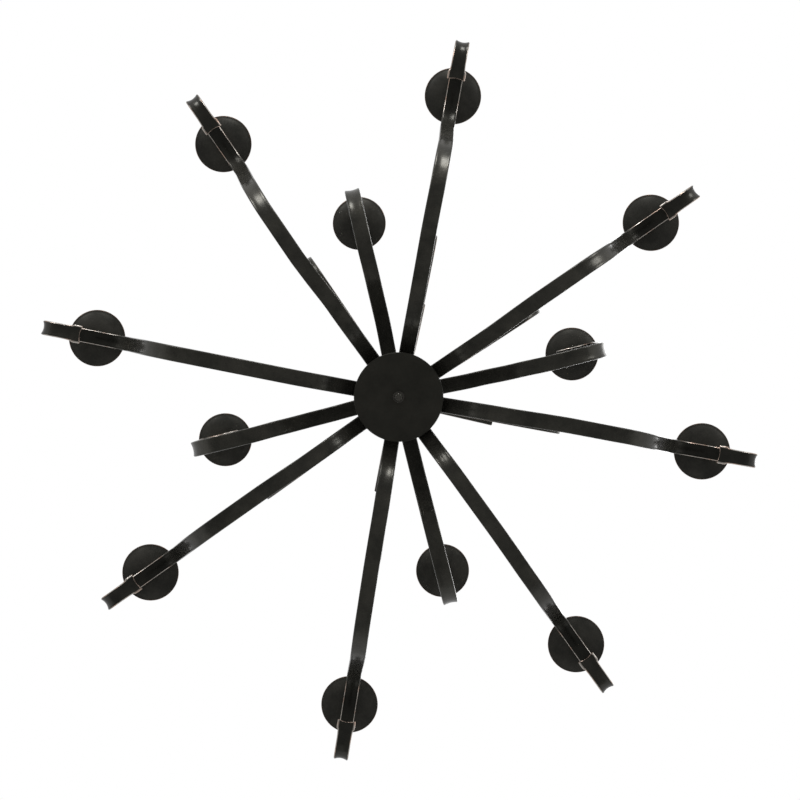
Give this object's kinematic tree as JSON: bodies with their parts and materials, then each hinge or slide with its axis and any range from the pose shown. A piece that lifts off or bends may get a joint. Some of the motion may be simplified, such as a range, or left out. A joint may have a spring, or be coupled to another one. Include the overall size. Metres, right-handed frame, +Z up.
{
  "type": "chandelier",
  "caption": "Two-tier hanging chandelier of hollow-faced bronze straps: S-scroll arms under upturned arms, drip pans, candle sleeves and bulbs, crown scrolls on a column.",
  "frame": {"origin": "centre of the hanging eye's bore", "axes": "+Z up, +Y along the eye's bore; one outer arm lies along +X"},
  "size_m": [0.9545, 0.9567, 0.7756],
  "materials": {
    "strap_bronze": "satin oil-rubbed bronze with worn copper edges",
    "pan_bronze": "matt oil-rubbed bronze with a worn copper rim",
    "hub_bronze": "matt oil-rubbed bronze",
    "tube_steel": "plain",
    "candle_ivory": "matt",
    "socket_plastic": "moulded",
    "nipple_brass": "machined",
    "bulb_glass": "clear"
  },
  "bodies": {
    "fixture": {"outer_arm_1": "strap_bronze", "outer_arm_2": "strap_bronze", "outer_arm_3": "strap_bronze", "outer_arm_4": "strap_bronze", "outer_arm_5": "strap_bronze", "outer_arm_6": "strap_bronze", "outer_arm_7": "strap_bronze", "outer_arm_8": "strap_bronze", "inner_arm_1": "strap_bronze", "inner_arm_2": "strap_bronze", "inner_arm_3": "strap_bronze", "inner_arm_4": "strap_bronze", "crown_scroll_1": "strap_bronze", "crown_scroll_2": "strap_bronze", "crown_scroll_3": "strap_bronze", "crown_scroll_4": "strap_bronze", "crown_scroll_5": "strap_bronze", "crown_scroll_6": "strap_bronze", "crown_scroll_7": "strap_bronze", "crown_scroll_8": "strap_bronze", "drip_pan_outer_1": "pan_bronze", "drip_pan_outer_2": "pan_bronze", "drip_pan_outer_3": "pan_bronze", "drip_pan_outer_4": "pan_bronze", "drip_pan_outer_5": "pan_bronze", "drip_pan_outer_6": "pan_bronze", "drip_pan_outer_7": "pan_bronze", "drip_pan_outer_8": "pan_bronze", "drip_pan_inner_1": "pan_bronze", "drip_pan_inner_2": "pan_bronze", "drip_pan_inner_3": "pan_bronze", "drip_pan_inner_4": "pan_bronze", "bottom_plate": "hub_bronze", "bottom_finial": "hub_bronze", "hub_cup": "hub_bronze", "lower_clamp_plate": "hub_bronze", "wiring_drum": "hub_bronze", "upper_clamp_plate": "hub_bronze", "centre_tube": "tube_steel", "column_body": "hub_bronze", "lower_band": "hub_bronze", "upper_band": "hub_bronze", "column_cap": "hub_bronze", "rod_cover": "hub_bronze", "hanging_eye": "hub_bronze", "candle_sleeves": "candle_ivory", "lamp_sockets": "socket_plastic", "lamp_nipples": "nipple_brass"},
    "bulb_outer_1_body": {"bulb_outer_1": "bulb_glass"},
    "bulb_outer_2_body": {"bulb_outer_2": "bulb_glass"},
    "bulb_outer_3_body": {"bulb_outer_3": "bulb_glass"},
    "bulb_outer_4_body": {"bulb_outer_4": "bulb_glass"},
    "bulb_outer_5_body": {"bulb_outer_5": "bulb_glass"},
    "bulb_outer_6_body": {"bulb_outer_6": "bulb_glass"},
    "bulb_outer_7_body": {"bulb_outer_7": "bulb_glass"},
    "bulb_outer_8_body": {"bulb_outer_8": "bulb_glass"},
    "bulb_inner_1_body": {"bulb_inner_1": "bulb_glass"},
    "bulb_inner_2_body": {"bulb_inner_2": "bulb_glass"},
    "bulb_inner_3_body": {"bulb_inner_3": "bulb_glass"},
    "bulb_inner_4_body": {"bulb_inner_4": "bulb_glass"}
  },
  "joints": [
    {"name": "bulb_outer_1_out", "type": "slide", "parent": "fixture", "child": "bulb_outer_1_body", "axis": [0, 0, 1], "range_m": [0, 0.026]},
    {"name": "bulb_outer_2_out", "type": "slide", "parent": "fixture", "child": "bulb_outer_2_body", "axis": [0, 0, 1], "range_m": [0, 0.026]},
    {"name": "bulb_outer_3_out", "type": "slide", "parent": "fixture", "child": "bulb_outer_3_body", "axis": [0, 0, 1], "range_m": [0, 0.026]},
    {"name": "bulb_outer_4_out", "type": "slide", "parent": "fixture", "child": "bulb_outer_4_body", "axis": [0, 0, 1], "range_m": [0, 0.026]},
    {"name": "bulb_outer_5_out", "type": "slide", "parent": "fixture", "child": "bulb_outer_5_body", "axis": [0, 0, 1], "range_m": [0, 0.026]},
    {"name": "bulb_outer_6_out", "type": "slide", "parent": "fixture", "child": "bulb_outer_6_body", "axis": [0, 0, 1], "range_m": [0, 0.026]},
    {"name": "bulb_outer_7_out", "type": "slide", "parent": "fixture", "child": "bulb_outer_7_body", "axis": [0, 0, 1], "range_m": [0, 0.026]},
    {"name": "bulb_outer_8_out", "type": "slide", "parent": "fixture", "child": "bulb_outer_8_body", "axis": [0, 0, 1], "range_m": [0, 0.026]},
    {"name": "bulb_inner_1_out", "type": "slide", "parent": "fixture", "child": "bulb_inner_1_body", "axis": [0, 0, 1], "range_m": [0, 0.026]},
    {"name": "bulb_inner_2_out", "type": "slide", "parent": "fixture", "child": "bulb_inner_2_body", "axis": [0, 0, 1], "range_m": [0, 0.026]},
    {"name": "bulb_inner_3_out", "type": "slide", "parent": "fixture", "child": "bulb_inner_3_body", "axis": [0, 0, 1], "range_m": [0, 0.026]},
    {"name": "bulb_inner_4_out", "type": "slide", "parent": "fixture", "child": "bulb_inner_4_body", "axis": [0, 0, 1], "range_m": [0, 0.026]}
  ]
}
